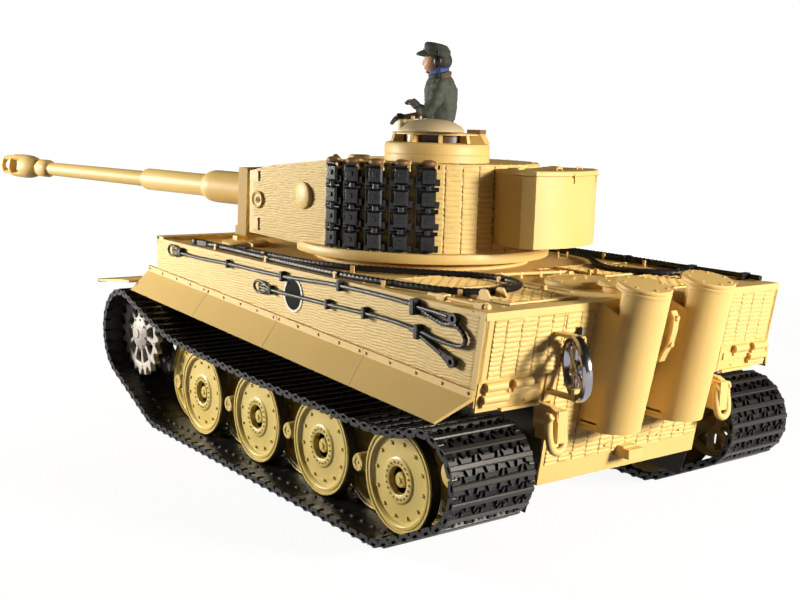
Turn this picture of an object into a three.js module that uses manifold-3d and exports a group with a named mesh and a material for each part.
// 1:16 scale radio-controlled heavy tank, millimetres, +X forward, +Y left, +Z up.
// Modelled with x = 0 midway between axles 4 and 5 and z = 0 on the ground, then shifted so that the
// origin is the bottom centre of the whole object at rest.
import * as THREE from 'three';
import { mergeVertices } from 'three/addons/utils/BufferGeometryUtils.js';
import Module from 'manifold-3d';

const wasm = await Module();
wasm.setup();

// ---------- driving dimensions ----------
const AXLE_SPACING = 32;
const AXLES = 8;
const AXLE_Z = 27.9;
const WHEEL_R = 24.6;
const WHEEL_SEG = 14;
const HUB_TUBE_R = 5.8;
const AXLE_R = 2;
const ARM_LENGTH = 24;
const ARM_RISE = 7;
const HALF_TUB = 53.2;
const BELLY_Z = 30.4;
const WALL = 2.4;
const DECK_Z = 112.6;
const HALF_HULL = 97.9;
const PANNIER_Z = 72.7;
const HULL_REAR_X = -168.7;
const HULL_FRONT_X = 136;
const TRACK_IN = 67.2;
const TRACK_OUT = 112.5;
const BELT = 3;
const BELT_AT_TEETH = 1.6;
const SPROCKET = { x: 161, z: 50, belt: 29.5, tip: 27.2, root: 23.6, teeth: 20 };
const IDLER = { x: -147.3, z: 39.9, belt: 23, r: 19.4 };
const GROUND = 27.9;
const TEETH_Y = [[79.5, 83.5], [96, 100]];
const TURRET_X = -1;
const TURRET_TURN = 21;
const WALL_R = 64.5;
const RING_R = 55.5;
const GUN = { x: 81, z: 142.4, tilt: 1.43 };
const CUPOLA = { x: -23, y: 26, r: 27.9 };
const GAP = 0.35;
const rad = THREE.MathUtils.degToRad;

// ---------- solids ----------
function solid(geometry) {
  const g = geometry.index ? geometry.clone() : geometry.clone();
  g.deleteAttribute('normal');
  g.deleteAttribute('uv');
  const m = mergeVertices(g, 1e-4);
  const vertProperties = new Float32Array(m.attributes.position.array);
  const triVerts = new Uint32Array(m.index.array);
  return new wasm.Manifold(new wasm.Mesh({ numProp: 3, vertProperties, triVerts }));
}

function geometryOf(manifold) {
  const mesh = manifold.getMesh();
  const g = new THREE.BufferGeometry();
  const pos = new Float32Array((mesh.vertProperties.length / mesh.numProp) * 3);
  for (let i = 0; i < pos.length / 3; i += 1) {
    for (let k = 0; k < 3; k += 1) pos[3 * i + k] = mesh.vertProperties[i * mesh.numProp + k];
  }
  g.setAttribute('position', new THREE.BufferAttribute(pos, 3));
  g.setIndex(new THREE.BufferAttribute(new Uint32Array(mesh.triVerts), 1));
  return g;
}

function join(...items) {
  return items.flat().reduce((a, b) => a.add(b));
}

function cut(body, ...tools) {
  return tools.flat().reduce((a, b) => a.subtract(b), body);
}

function box(x0, x1, y0, y1, z0, z1) {
  const g = new THREE.BoxGeometry(x1 - x0, y1 - y0, z1 - z0);
  g.translate((x0 + x1) / 2, (y0 + y1) / 2, (z0 + z1) / 2);
  return solid(g);
}

// Box given in its own frame: centre, size, turn about Z in degrees, tilt about Y in degrees.
function placedBox(centre, size, turn = 0, tilt = 0) {
  const g = new THREE.BoxGeometry(...size);
  g.rotateY(rad(tilt));
  g.rotateZ(rad(turn));
  g.translate(...centre);
  return solid(g);
}

function rod(from, to, radius, segments = 16, radiusTo = radius) {
  const a = new THREE.Vector3(...from);
  const b = new THREE.Vector3(...to);
  const dir = b.clone().sub(a);
  const g = new THREE.CylinderGeometry(radiusTo, radius, dir.length(), segments);
  g.translate(0, dir.length() / 2, 0);
  const q = new THREE.Quaternion().setFromUnitVectors(new THREE.Vector3(0, 1, 0), dir.clone().normalize());
  g.applyQuaternion(q);
  g.translate(a.x, a.y, a.z);
  return solid(g);
}

function shapeOf(points, hole) {
  const s = new THREE.Shape(points.map((p) => new THREE.Vector2(p[0], p[1])));
  if (hole) s.holes.push(new THREE.Path(hole.map((p) => new THREE.Vector2(p[0], p[1]))));
  return s;
}

function prismZ(points, z0, z1, hole) {
  const g = new THREE.ExtrudeGeometry(shapeOf(points, hole), { depth: z1 - z0, bevelEnabled: false });
  g.translate(0, 0, z0);
  return solid(g);
}

// Points are (x, z), extruded along Y.
function prismY(points, y0, y1, hole) {
  const g = new THREE.ExtrudeGeometry(shapeOf(points, hole), { depth: y1 - y0, bevelEnabled: false });
  g.rotateX(Math.PI / 2);
  g.translate(0, y1, 0);
  return solid(g);
}

// Profile points are (radius, y); the axis runs along Y through (x, z).
function turnedY(profile, x, z, segments, side = 1) {
  const pts = profile.map((p) => new THREE.Vector2(p[0], p[1]));
  const g = new THREE.LatheGeometry(pts, segments);
  if (side < 0) g.rotateZ(Math.PI);
  g.translate(x, 0, z);
  return solid(g);
}

// Profile points are (radius, height) about a vertical axis.
function turnedZ(profile, x, y, segments) {
  const g = new THREE.LatheGeometry(profile.map((p) => new THREE.Vector2(p[0], p[1])), segments);
  g.rotateX(Math.PI / 2);
  g.translate(x, y, 0);
  return solid(g);
}

// Triangles that fill a flat polygon, whichever way it faces.
function capOf(section) {
  const p = section.map((v) => new THREE.Vector3(...v));
  const normal = new THREE.Vector3();
  p.forEach((v, i) => normal.add(v.clone().sub(p[0]).cross(p[(i + 1) % p.length].clone().sub(p[0]))));
  const turn = new THREE.Quaternion().setFromUnitVectors(normal.normalize(), new THREE.Vector3(0, 0, 1));
  const flat = p.map((v) => v.applyQuaternion(turn)).map((v) => new THREE.Vector2(v.x, v.y));
  return THREE.ShapeUtils.triangulateShape(flat, []);
}

// Joins equal polygons, one after another, into one closed body.
function loft(sections) {
  const n = sections[0].length;
  const pos = sections.flat(2);
  const index = [];
  for (let s = 0; s + 1 < sections.length; s += 1) {
    for (let i = 0; i < n; i += 1) {
      const a = s * n + i;
      const b = s * n + ((i + 1) % n);
      index.push(a, b, b + n, a, b + n, a + n);
    }
  }
  const last = (sections.length - 1) * n;
  for (const [a, b, c] of capOf(sections[0])) {
    index.push(a, c, b);
  }
  for (const [a, b, c] of capOf(sections[sections.length - 1])) {
    index.push(last + a, last + b, last + c);
  }
  const g = new THREE.BufferGeometry();
  g.setAttribute('position', new THREE.Float32BufferAttribute(pos, 3));
  g.setIndex(index);
  let m = solid(g);
  if (m.volume() < 0 || m.isEmpty()) {
    for (let i = 0; i < index.length; i += 3) {
      const t = index[i + 1];
      index[i + 1] = index[i + 2];
      index[i + 2] = t;
    }
    g.setIndex(index);
    m = solid(g);
  }
  return m;
}

function tube(points, radius, steps, sides = 8) {
  const curve = new THREE.CatmullRomCurve3(points.map((p) => new THREE.Vector3(...p)), false, 'centripetal');
  const ring = [];
  for (let i = 0; i < sides; i += 1) {
    const a = (2 * Math.PI * (i + 0.5)) / sides;
    ring.push([radius * Math.cos(a), radius * Math.sin(a)]);
  }
  const g = new THREE.ExtrudeGeometry(shapeOf(ring), { steps, bevelEnabled: false, extrudePath: curve });
  return solid(g);
}

function arc(cx, cy, r, a0, a1, steps) {
  const pts = [];
  for (let i = 0; i <= steps; i += 1) {
    const a = rad(a0 + ((a1 - a0) * i) / steps);
    pts.push([cx + r * Math.cos(a), cy + r * Math.sin(a)]);
  }
  return pts;
}

// ---------- the object ----------
const tank = new THREE.Group();
const hull = new THREE.Group();
const turret = new THREE.Group();
tank.add(hull);
hull.add(turret);
turret.position.set(TURRET_X, 0, 0);
turret.rotation.z = rad(TURRET_TURN);

const PAINT = { color: 0xd9b364, roughness: 0.62, metalness: 0 };
const BLACK = { color: 0x17181a, roughness: 0.42, metalness: 0.1 };
const STEEL = { color: 0xb9bbbd, roughness: 0.3, metalness: 0.9 };
const PLASTIC = { color: 0x2a2c2f, roughness: 0.5, metalness: 0 };
const BOARD = { color: 0x1f5a36, roughness: 0.45, metalness: 0 };
const CELL = { color: 0x2f4f9a, roughness: 0.4, metalness: 0 };
const CLOTH = { color: 0x4a4f43, roughness: 0.9, metalness: 0 };

function put(name, body, look, group = hull) {
  const mesh = new THREE.Mesh(geometryOf(body), new THREE.MeshStandardMaterial(look));
  mesh.name = name;
  group.add(mesh);
}

const SIDES = [['left', 1], ['right', -1]];
const axleX = (i) => (AXLES / 2 - 0.5 - i) * AXLE_SPACING;

// Y range on either side of the hull.
function across(side, a, b) {
  return side > 0 ? [a, b] : [-b, -a];
}

// ---------- lower hull: tub with nose, rear plate, final drives and idler pins ----------
const tubOutline = [
  [-156.4, BELLY_Z], [150, BELLY_Z], [190, 72], [187.5, 77], [141, 88], [-164.9, 88],
];
let lower = prismY(tubOutline, -HALF_TUB, HALF_TUB);
const tubInside = [
  [-153.4, BELLY_Z + WALL], [149, BELLY_Z + WALL], [185.6, 71.2], [184.4, 73.6], [140, 84.6],
  [139, 92], [-162, 92],
];
lower = cut(lower, prismY(tubInside, -HALF_TUB + WALL, HALF_TUB - WALL));
lower = lower.add(prismY(
  [[-156.4, BELLY_Z], [-153.4, BELLY_Z], [-165.3, 109.8], [-168.25, 109.8]], -HALF_TUB, HALF_TUB,
));
for (const [, s] of SIDES) {
  const [h0, h1] = across(s, HALF_TUB - 1, 65);
  lower = lower.add(rod([SPROCKET.x, h0, SPROCKET.z], [SPROCKET.x, h1, SPROCKET.z], 12, 20));
  const [p0, p1] = across(s, HALF_TUB - 1, 93);
  lower = lower.add(rod([IDLER.x, p0, IDLER.z], [IDLER.x, p1, IDLER.z], 3, 12));
}
for (const [, s] of SIDES) {
  const [b0, b1] = across(s, 45, 70);
  lower = lower.subtract(rod([SPROCKET.x, b0, SPROCKET.z], [SPROCKET.x, b1, SPROCKET.z], 3.5, 16));
  for (let i = 0; i < AXLES; i += 1) {
    const x = axleX(i) + ARM_LENGTH;
    const z = AXLE_Z + ARM_RISE;
    if (x < 150) lower = lower.subtract(rod([x, b0, z], [x, b1, z], 3.4, 8));
  }
}
// Towing lugs, one near each side of the rear plate, and the hitch bracket between them.
for (const [, s] of SIDES) {
  lower = lower.add(box(-172, -158, ...across(s, 52, 57.6), 54, 68));
}
lower = lower.add(box(-166.5, -155, -5, 5, 37, 41.5));
put('lower_hull', lower, PAINT);

// ---------- upper hull: deck, side plates, pannier floors, front plate, deck fittings ----------
let upper = box(HULL_REAR_X, HULL_FRONT_X, -HALF_HULL, HALF_HULL, DECK_Z - WALL, DECK_Z);
const rearAt = (z) => HULL_REAR_X + (DECK_Z - z) * Math.tan(rad(8.5)) * 0.1;
for (const [, s] of SIDES) {
  const [w0, w1] = across(s, HALF_HULL - WALL, HALF_HULL);
  upper = upper.add(box(HULL_REAR_X, HULL_FRONT_X + 3, w0, w1, PANNIER_Z, DECK_Z));
  const [f0, f1] = across(s, HALF_TUB + GAP, HALF_HULL);
  upper = upper.add(box(HULL_REAR_X, HULL_FRONT_X + 3, f0, f1, PANNIER_Z, PANNIER_Z + WALL));
  upper = upper.add(box(rearAt(PANNIER_Z), rearAt(PANNIER_Z) + WALL, f0, f1, PANNIER_Z, DECK_Z));
  upper = upper.add(box(HULL_FRONT_X, HULL_FRONT_X + 3, f0, f1, PANNIER_Z, DECK_Z + 2));
}
for (const [, s] of SIDES) {
  upper = upper.subtract(box(116, 150, ...across(s, 66.5, 100), 70, 76.6));
  upper = upper.add(box(114, HULL_FRONT_X + 3, ...across(s, 64.5, HALF_HULL), 76.6, 79));
}
upper = upper.add(box(HULL_FRONT_X, HULL_FRONT_X + 3, -HALF_HULL, HALF_HULL, 92.4, DECK_Z + 2));
upper = upper.add(turnedZ([[57, DECK_Z - 1], [62.5, DECK_Z - 1], [62.5, 115.8], [57, 115.8], [57, DECK_Z - 1]],
  TURRET_X, 0, 36));
upper = upper.subtract(rod([TURRET_X, 0, 100], [TURRET_X, 0, 120], 57, 36));
for (const y of [62, -62]) {
  upper = upper.add(rod([92, y, DECK_Z - 1], [92, y, DECK_Z + 2.4], 14, 16));
}
upper = upper.add(rod([-122, -4, DECK_Z - 1], [-122, -4, DECK_Z + 3], 18, 20));
upper = upper.add(rod([-149.5, -2, DECK_Z - 1], [-149.5, -2, DECK_Z + 6], 11, 14));
for (const [, s] of SIDES) {
  for (const [x0, x1] of [[-156, -118], [-112, -74]]) {
    const [g0, g1] = across(s, 32, 74);
    upper = upper.add(box(x0, x1, g0, g1, DECK_Z - 1, DECK_Z + 0.4));
  }
}
upper = upper.add(rod([HULL_FRONT_X - 1, -50, 101], [HULL_FRONT_X + 7, -50, 101], 8, 18));
upper = upper.add(rod([HULL_FRONT_X + 4, -50, 101], [HULL_FRONT_X + 20, -50, 101], 1.6, 10));
upper = upper.add(box(HULL_FRONT_X + 1, HULL_FRONT_X + 6, 32, 62, 97, 106));
// Front mudguards and rear flaps over the tracks.
for (const [, s] of SIDES) {
  const guard = (x) => [[x, 86.4], [x, 84.6], [172, 82.4], [198, 79.4], [198, 81.2], [172, 84.2]];
  upper = upper.add(prismY(guard(137), ...across(s, 58, HALF_HULL - 1)));
  upper = upper.add(prismY(guard(148), ...across(s, HALF_HULL - 2, TRACK_OUT)));
  const flap = [[-168.4, 78], [-165.4, 78], [-165.4, 70.6], [-168.4, 70.6]];
  upper = upper.add(prismY(flap, ...across(s, 59, HALF_HULL)));
}
put('upper_hull', upper, PAINT);

// ---------- skirts: flange on the side plate and sloping panel ----------
function skirt(s) {
  const section = (x, top) => [
    [x, s * (HALF_HULL + GAP), top], [x, s * (HALF_HULL + 1.9), top],
    [x, s * (HALF_HULL + 1.9), top - 3.2], [x, s * TRACK_OUT, top - 14.4],
    [x, s * (TRACK_OUT - 1.6), top - 15], [x, s * (HALF_HULL + GAP), top - 4.4],
  ];
  return loft([section(147.1, 95.3), section(-164, 80.8)]);
}
for (const [name, s] of SIDES) {
  put(`skirt_${name}`, skirt(s), PAINT);
}

// ---------- tracks ----------
function tangentAngle(c1, c2) {
  const dx = c2.x - c1.x;
  const dz = c2.z - c1.z;
  const d = Math.hypot(dx, dz);
  return THREE.MathUtils.radToDeg(Math.atan2(dz, dx) - Math.acos((c1.r - c2.r) / d));
}

function beltLoop(inset) {
  const first = { x: axleX(0), z: GROUND, r: GROUND - inset };
  const last = { x: axleX(AXLES - 1), z: GROUND, r: GROUND - inset };
  const front = { x: SPROCKET.x, z: SPROCKET.z, r: SPROCKET.belt - Math.min(inset, BELT_AT_TEETH) };
  const back = { x: IDLER.x, z: IDLER.z, r: IDLER.belt - inset };
  const aFront = tangentAngle(first, front);
  const aBack = tangentAngle(back, last);
  const top = [
    [137, 73.6], [118, 68], [100, 63.6], [85, 61.4], [52, 59.3], [17, 58], [-15, 57.1], [-60, 56.9],
    [-118, 56.9],
  ].map((p) => [p[0], p[1] - inset]);
  return [
    ...arc(first.x, first.z, first.r, -90, aFront, 4),
    ...arc(front.x, front.z, front.r, aFront, 106, 12),
    ...top,
    ...arc(back.x, back.z, back.r, 77, 360 + aBack, 11),
    ...arc(last.x, last.z, last.r, aBack, -90, 4),
  ];
}

function belt(s) {
  const outer = beltLoop(0);
  const [t0, t1] = across(s, TRACK_IN, TRACK_OUT);
  return prismY(outer, t0, t1, beltLoop(BELT).reverse());
}
for (const [name, s] of SIDES) {
  put(`track_${name}`, belt(s), BLACK);
}

// ---------- drive sprockets and idlers ----------
function toothed() {
  const pts = [];
  for (let i = 0; i < SPROCKET.teeth; i += 1) {
    const a = (360 * i) / SPROCKET.teeth;
    for (const [da, r] of [[-9, SPROCKET.root], [-3, SPROCKET.tip], [3, SPROCKET.tip]]) {
      pts.push([SPROCKET.x + r * Math.cos(rad(a + da)), SPROCKET.z + r * Math.sin(rad(a + da))]);
    }
  }
  return pts;
}

function sprocket(s) {
  const bodies = TEETH_Y.map(([a, b]) => prismY(toothed(), ...across(s, a, b)));
  const [d0, d1] = across(s, TEETH_Y[0][0] + 1, TEETH_Y[1][1] - 1);
  bodies.push(rod([SPROCKET.x, d0, SPROCKET.z], [SPROCKET.x, d1, SPROCKET.z], 15, 20));
  const [s0, s1] = across(s, 49, TEETH_Y[1][1] + 2);
  bodies.push(rod([SPROCKET.x, s0, SPROCKET.z], [SPROCKET.x, s1, SPROCKET.z], 3, 12));
  return join(bodies);
}

function idler(s) {
  return turnedY([
    [3.4, 78.4], [IDLER.r, 78.4], [IDLER.r, 82.6], [9, 82.6], [9, 86], [IDLER.r, 86], [IDLER.r, 90.2],
    [15, 90.2], [14, 88.2], [7, 88.2], [6, 96.5], [0, 96.5], [0, 93.6], [3.4, 93.6], [3.4, 78.4],
  ], IDLER.x, IDLER.z, 18, s);
}
for (const [name, s] of SIDES) {
  put(`drive_sprocket_${name}`, sprocket(s), STEEL);
  put(`idler_${name}`, idler(s), PAINT);
}

// ---------- road wheels on swing arms ----------
const INNER_WHEEL = [
  [2.35, 61.5], [WHEEL_R, 61.5], [WHEEL_R, 67.4], [HUB_TUBE_R, 67.4], [HUB_TUBE_R, 82],
  [WHEEL_R, 82], [WHEEL_R, 88], [4.8, 88], [4.6, 97], [0, 97], [0, 94], [2.35, 94], [2.35, 61.5],
];
const OUTER_WHEEL = [
  [2.35, 71], [WHEEL_R, 71], [WHEEL_R, 77], [HUB_TUBE_R, 77], [HUB_TUBE_R, 91.5], [WHEEL_R, 91.5],
  [WHEEL_R, 97.5], [21, 95.6], [0, 95.6], [0, 93.5], [2.35, 93.5], [2.35, 71],
];

function swingArm(i, s) {
  const x = axleX(i);
  const px = x + ARM_LENGTH;
  const pz = AXLE_Z + ARM_RISE;
  const turn = Math.atan2(ARM_RISE, ARM_LENGTH);
  const out = [
    ...arc(x, AXLE_Z, 4.4, 90 + THREE.MathUtils.radToDeg(turn), 270 + THREE.MathUtils.radToDeg(turn), 4),
    ...arc(px, pz, 5, -90 + THREE.MathUtils.radToDeg(turn), 90 + THREE.MathUtils.radToDeg(turn), 4),
  ];
  const [a0, a1] = across(s, 54.6, 60.2);
  const [p0, p1] = across(s, 49, 56);
  const [x0, x1] = across(s, 58, 92.8);
  return join(
    prismY(out, a0, a1),
    rod([px, p0, pz], [px, p1, pz], 2.8, 8),
    rod([x, x0, AXLE_Z], [x, x1, AXLE_Z], AXLE_R, 8),
  );
}
for (const [name, s] of SIDES) {
  for (let i = 0; i < AXLES; i += 1) {
    const profile = i % 2 === 0 ? INNER_WHEEL : OUTER_WHEEL;
    put(`road_wheel_${name}_${i + 1}`, turnedY(profile, axleX(i), AXLE_Z, WHEEL_SEG, s), PAINT);
    put(`swing_arm_${name}_${i + 1}`, swingArm(i, s), PLASTIC);
  }
}

// ---------- exhausts: leaning stack with cap, curved shield and its two side plates ----------
function exhaust(s) {
  const y = s * 21.5;
  const lean = (184 - 171) / (122.6 - 57.6);
  const at = (z) => -171 - (z - 57.6) * lean;
  const pipe = rod([at(57.6) - 1.5, y, 56.5], [at(121) - 0.5, y, 121], 9, 14);
  const cap = rod([at(119.4), y, 119.4], [at(122.6), y, 122.6], 12, 20);
  const front = prismY([[at(50) - 2.6, 50], [-140, 50], [-140, 130], [at(130) - 2.6, 130]], y - 20, y + 20);
  const shield = cut(
    rod([at(55.6), y, 55.6], [at(119.6), y, 119.6], 12, 20),
    rod([at(50), y, 50], [at(118.6), y, 118.6], 10.4, 20),
    front,
  );
  const plates = [];
  for (const e of [-1, 1]) {
    const y0 = y + e * 10.2;
    const y1 = y + e * 11.7;
    plates.push(loft([56, 110].map((z) => {
      const wall = -168.7 + (DECK_Z - z) * 0.1496 - 0.6;
      return [[at(z) - 2.5, y0, z], [at(z) - 2.5, y1, z], [wall, y1, z], [wall, y0, z]];
    })));
  }
  const foot = loft([55.6, 57.4].map((z) => {
    const wall = -168.7 + (DECK_Z - z) * 0.1496 - 0.6;
    return [[at(z) - 6, y - 11, z], [wall, y - 11, z], [wall, y + 11, z], [at(z) - 6, y + 11, z]];
  }));
  return join(pipe, cap, shield, plates, foot);
}
for (const [name, s] of SIDES) {
  put(`exhaust_${name}`, exhaust(s), PAINT);
}

// ---------- cables ----------
const rope = DECK_Z + 2.3;
function eye(x, y, z, flat) {
  const ring = flat
    ? turnedZ([[2.2, z - 1.1], [5.2, z - 1.1], [5.2, z + 1.1], [2.2, z + 1.1], [2.2, z - 1.1]], x, y, 8)
    : turnedY([[2.2, y - 1], [5.2, y - 1], [5.2, y + 1], [2.2, y + 1], [2.2, y - 1]], x, z, 8);
  return ring;
}
const leftRope = [
  [92, 91.2, rope], [60, 91, rope], [20, 92.6, rope], [-30, 94, rope], [-70, 92.4, rope], [-100, 86.5, rope],
  [-122, 79, rope], [-132, 67, rope], [-130, 49, rope], [-121, 36, rope], [-108, 31, rope], [-96, 32, rope],
  [-84, 38, rope], [-66, 54, rope], [-38, 75, rope], [-8, 83, rope], [30, 84.5, rope], [56, 85, rope],
];
put('tow_cable_left', join(tube(leftRope, 1.7, 38), eye(96, 91.2, rope, true), eye(60, 85, rope, true)), BLACK);
const rightRope = [
  [92, -91.2, rope], [40, -91.5, rope], [-20, -93.5, rope], [-70, -93.5, rope], [-108, -91, rope],
  [-124, -82, rope], [-127, -70, rope], [-119, -58, rope], [-104, -51, rope], [-92, -52, rope],
  [-76, -62, rope], [-52, -80, rope], [-20, -86, rope], [30, -85.5, rope], [56, -85, rope],
];
put('tow_cable_right', join(tube(rightRope, 1.7, 34), eye(96, -91.2, rope, true), eye(60, -85, rope, true)), BLACK);

const wallY = HALF_HULL + 1.55;
const sideRope = [
  [111, 108.3], [80, 107.6], [44, 108.4], [-14, 108.8], [-66, 110.9], [-120, 110.4], [-133, 107.6],
  [-143, 105.3], [-152, 105.8], [-158, 101.5], [-155, 97.6], [-140, 97.9], [-127, 99.6], [-100, 101],
  [-60, 100.6], [-4, 100.2], [8, 100.4],
].map((p) => [p[0], wallY, p[1]]);
const sideBody = join(
  tube(sideRope, 1.15, 36),
  eye(114.6, wallY, 108.3, false),
  eye(11.4, wallY, 100.4, false),
  tube([[-121, wallY, 99.6], [-133, wallY, 97], [-147, wallY, 91.4]], 1.3, 4),
  eye(-150, wallY, 90.2, false),
  tube([[-122, wallY, 109.6], [-136, wallY, 109.6], [-147, wallY, 108.8]], 1.2, 4),
  eye(-150.4, wallY, 108.4, false),
);
put('side_cable', sideBody, BLACK);

// ---------- inside the hull ----------
put('battery_pack', box(-60, 40, -24, 24, BELLY_Z + WALL + GAP, 62), CELL);
put('control_board', join(
  box(-125, -75, -30, 30, BELLY_Z + WALL + GAP, 36), box(-112, -94, -12, 10, 35, 44),
), BOARD);
for (const [name, s] of SIDES) {
  const [a, b] = across(s, 6, 48.2);
  put(`drive_gearbox_${name}`, join(
    box(112, 160, ...across(s, 34, 48.2), 48.5, 62), box(116, 146, a, b, BELLY_Z + WALL + GAP, 60),
  ), PLASTIC);
}

// ---------- turret ----------
const tangent = rad(78);
const tx = WALL_R * Math.cos(tangent);
const ty = WALL_R * Math.sin(tangent);
const FRONT_X = 87.5;
const frontY = (x, r) => (r - Math.sin(rad(12)) * x) / Math.cos(rad(12));

function horseshoe(r, frontX, steps) {
  const line = frontY(frontX, r);
  return [[frontX, -line], [frontX, line], ...arc(0, 0, r, 78, 282, steps)];
}
let shell = prismZ(horseshoe(WALL_R, FRONT_X, 20), 121, 167.3);
const roofCut = prismY([[22, 167.3], [68, 162.2], [95, 156.6], [95, 175], [22, 175]], -80, 80);
const roofInCut = prismY([[22, 164.9], [68, 159.8], [95, 154.2], [95, 175], [22, 175]], -80, 80);
const bottomCut = prismY([[50, 120], [95, 120], [95, 123.6], [50, 121]], -80, 80);
const inside = cut(prismZ(horseshoe(WALL_R - WALL, FRONT_X - WALL, 16), 123.6, 164.9), roofInCut);
shell = cut(shell, roofCut, bottomCut);
const skirtRing = cut(
  prismZ([...arc(0, 0, 69.5, 45.8, 314.2, 24)], 116.9, 121.2),
);
shell = shell.add(skirtRing);
shell = shell.add(rod([0, 0, 108.5], [0, 0, 121.2], RING_R, 36));
shell = cut(shell, inside, rod([0, 0, 100], [0, 0, 124], RING_R - 4, 28));
shell = shell.subtract(box(80, 92, -41.5, 41.5, 127, 157));
shell = shell.subtract(rod([CUPOLA.x, CUPOLA.y, 160], [CUPOLA.x, CUPOLA.y, 170], 17, 24));
shell = shell.subtract(box(-2, 22, -44, -22, 160, 170));
shell = shell.add(rod([42.3, 54, 147], [42.3, 62.5, 147], 6.2, 16));
shell = shell.add(turnedZ([[0, 163], [7, 163], [7, 168.6], [0, 168.6]], 44, 0, 18));
put('turret_shell', shell, PAINT, turret);

const binPlan = [
  [-62, 34], [-80, 37.6], [-85, 36.8], ...arc(-40.6, 0, 58.7, 141.5, 218.5, 12), [-85, -36.8], [-80, -37.6],
  [-62, -34],
];
let bin = prismZ(binPlan, 126.5, 165.6);
bin = cut(bin, rod([0, 0, 120], [0, 0, 170], WALL_R + 1.2, 48));
bin = cut(bin, cut(prismZ(binPlan.map((p) => [p[0] * 0.965 - 1, p[1] * 0.93]), 129, 163),
  box(-200, -97, -60, 60, 100, 200)));
put('stowage_bin', bin, PAINT, turret);

const mantletGroup = new THREE.Group();
mantletGroup.position.set(GUN.x, 0, GUN.z);
mantletGroup.rotation.y = -rad(GUN.tilt);
turret.add(mantletGroup);
let mantlet = box(11, 17.8, -44, 44, -17.1, 16.6);
mantlet = join(
  mantlet,
  box(11, 19.3, -44, 44, -22.4, -16.9),
  rod([0, -40, 0], [0, 40, 0], 11.9, 24),
  rod([16, 0, 0], [79.3, 0, 0], 10.25, 24),
);
mantlet = mantlet.subtract(rod([-20, 0, 0], [90, 0, 0], 7.5, 20));
put('mantlet', mantlet, PAINT, mantletGroup);

const barrelProfile = [
  [0, 3], [7.05, 3], [7.05, 133], [5.05, 134.2], [4.5, 227], [6.05, 227.6], [6.05, 237], [4.9, 238],
  [6.9, 242], [8.3, 249], [5.2, 250.5], [5.2, 254], [8.25, 255.5], [7.5, 264], [6.55, 272.7],
  [4, 272.7], [4, 269.7], [0, 269.7],
];
const barrelGeometry = new THREE.LatheGeometry(barrelProfile.map((p) => new THREE.Vector2(...p)), 16);
barrelGeometry.rotateZ(-Math.PI / 2);
put('gun_barrel', solid(barrelGeometry), PAINT, mantletGroup);

// Cupola ring standing on the roof, with guards and a lid swung aside on its pivot.
let cupola = turnedZ([
  [17, 167.7], [CUPOLA.r, 167.7], [CUPOLA.r, 177.6], [25.2, 178.6], [24.4, 182.8], [18.5, 182.8], [17, 181],
  [17, 167.7],
], CUPOLA.x, CUPOLA.y, 22);
for (let k = 0; k < 5; k += 1) {
  const a = rad(k * 72 + 20);
  cupola = cupola.subtract(placedBox(
    [CUPOLA.x + 25 * Math.cos(a), CUPOLA.y + 25 * Math.sin(a), 180.6], [7, 9, 2.2], k * 72 + 20,
  ));
}
put('cupola', cupola, PAINT, turret);
const OPEN_AZ = 121;
const lidX = CUPOLA.x + 24 * Math.cos(rad(OPEN_AZ)) + 2.7;
const lidY = CUPOLA.y + 24 * Math.sin(rad(OPEN_AZ)) + 1.4;
const pivotX = CUPOLA.x + 12 * Math.cos(rad(OPEN_AZ)) + 18 * Math.cos(rad(OPEN_AZ - 90));
const pivotY = CUPOLA.y + 12 * Math.sin(rad(OPEN_AZ)) + 18 * Math.sin(rad(OPEN_AZ - 90));
put('cupola_hatch', join(
  turnedZ([[0, 183.4], [16.4, 183.4], [16.4, 184.8], [12, 188.2], [6, 189.9], [0, 190.2]], lidX, lidY, 18),
  rod([pivotX, pivotY, 183.4], [pivotX, pivotY, 187], 3, 12),
  placedBox([(lidX + pivotX) / 2, (lidY + pivotY) / 2, 184.9], [18, 4, 2.4],
    THREE.MathUtils.radToDeg(Math.atan2(lidY - pivotY, lidX - pivotX))),
), PAINT, turret);
put('loader_hatch', join(
  box(-4, 24, -46, -20, 167.7, 169.7), rod([-5.5, -42, 169.4], [-5.5, -24, 169.4], 1.6, 10),
  box(-6, -3, -40, -26, 167.75, 169.4),
), PAINT, turret);

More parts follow.
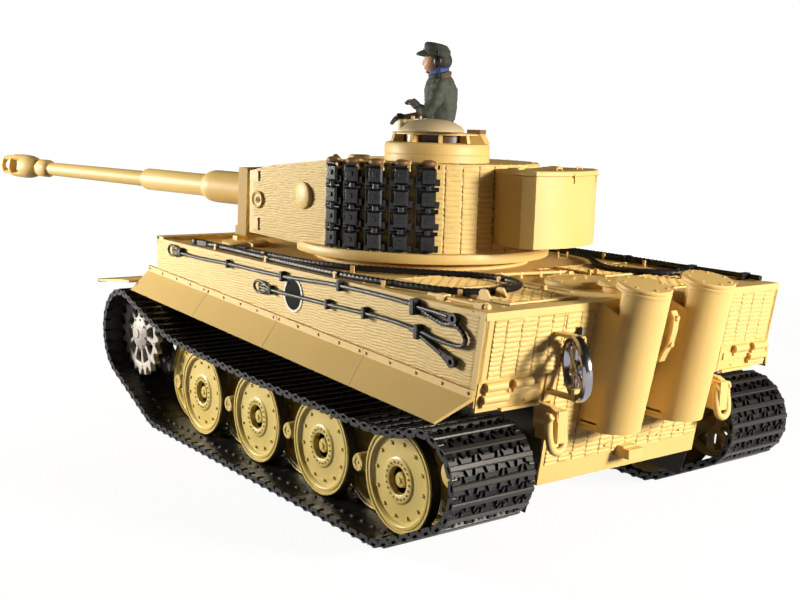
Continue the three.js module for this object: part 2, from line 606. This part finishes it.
const linkParts = [];
for (let k = 0; k < 5; k += 1) {
  const a = Math.PI - (116.5 - 13.05 * k) / WALL_R;
  const n = [Math.cos(a), Math.sin(a)];
  const turn = THREE.MathUtils.radToDeg(a);
  linkParts.push(placedBox([(WALL_R + 3.4) * n[0], (WALL_R + 3.4) * n[1], 144], [3.6, 10.2, 45], turn));
  linkParts.push(placedBox([(WALL_R + 2.2) * n[0], (WALL_R + 2.2) * n[1], 163], [1.6, 15.5, 3], turn));
}
put('spare_links', join(linkParts), BLACK, turret);

// ---------- commander: half figure standing in the cupola ----------
const figure = new THREE.Group();
const faceAz = 48 - TURRET_TURN;
const fx = CUPOLA.x - 4 * Math.cos(rad(OPEN_AZ));
const fy = CUPOLA.y - 4 * Math.sin(rad(OPEN_AZ));
figure.position.set(fx, fy, 0);
figure.rotation.z = rad(faceAz);
turret.add(figure);
function ball(x, y, z, a, b, c) {
  const g = new THREE.SphereGeometry(1, 9, 6);
  g.scale(a, b, c);
  g.translate(x, y, z);
  return solid(g);
}
put('commander_figure', join(
  loft([
    [[-5, -7.5], [5.5, -7], [5.5, 7], [-5, 7.5]].map((p) => [p[0], p[1], 172]),
    [[-7.5, -8], [6, -7.5], [6, 7.5], [-7.5, 8]].map((p) => [p[0], p[1], 190]),
    [[-8.5, -11], [6, -9.5], [6, 9.5], [-8.5, 11]].map((p) => [p[0], p[1], 204]),
    [[-4, -6], [3, -5], [3, 5], [-4, 6]].map((p) => [p[0], p[1], 209.5]),
  ]),
  rod([0, 0, 206], [1.2, 0, 216], 4, 12),
  ball(2.4, 0, 219.6, 6.6, 5.6, 7.4),
  rod([1.6, 0, 222.8], [1.2, 0, 230.3], 6.3, 14, 7.2),
  placedBox([9, 0, 223.4], [6, 8, 1.4], 0, 12),
  rod([-1, 10.6, 204.5], [3, 13.5, 192], 3.4, 10),
  rod([3, 13.2, 192.4], [15, 9.5, 199.5], 3, 10),
  ball(15.6, 9.2, 199.8, 3, 2.6, 3),
  rod([-1, -10.6, 204.5], [3, -13, 193], 3.4, 10),
  rod([3, -12.6, 193.4], [16, -6, 190.6], 3, 10),
  ball(17, -5.6, 190.6, 3, 2.6, 2.6),
), CLOTH, figure);

// ---------- origin: bottom centre of the whole object at rest ----------
tank.updateMatrixWorld(true);
const bounds = new THREE.Box3().setFromObject(tank, true);
const centre = bounds.getCenter(new THREE.Vector3());
hull.position.set(-centre.x, -centre.y, -bounds.min.z);

export default tank;
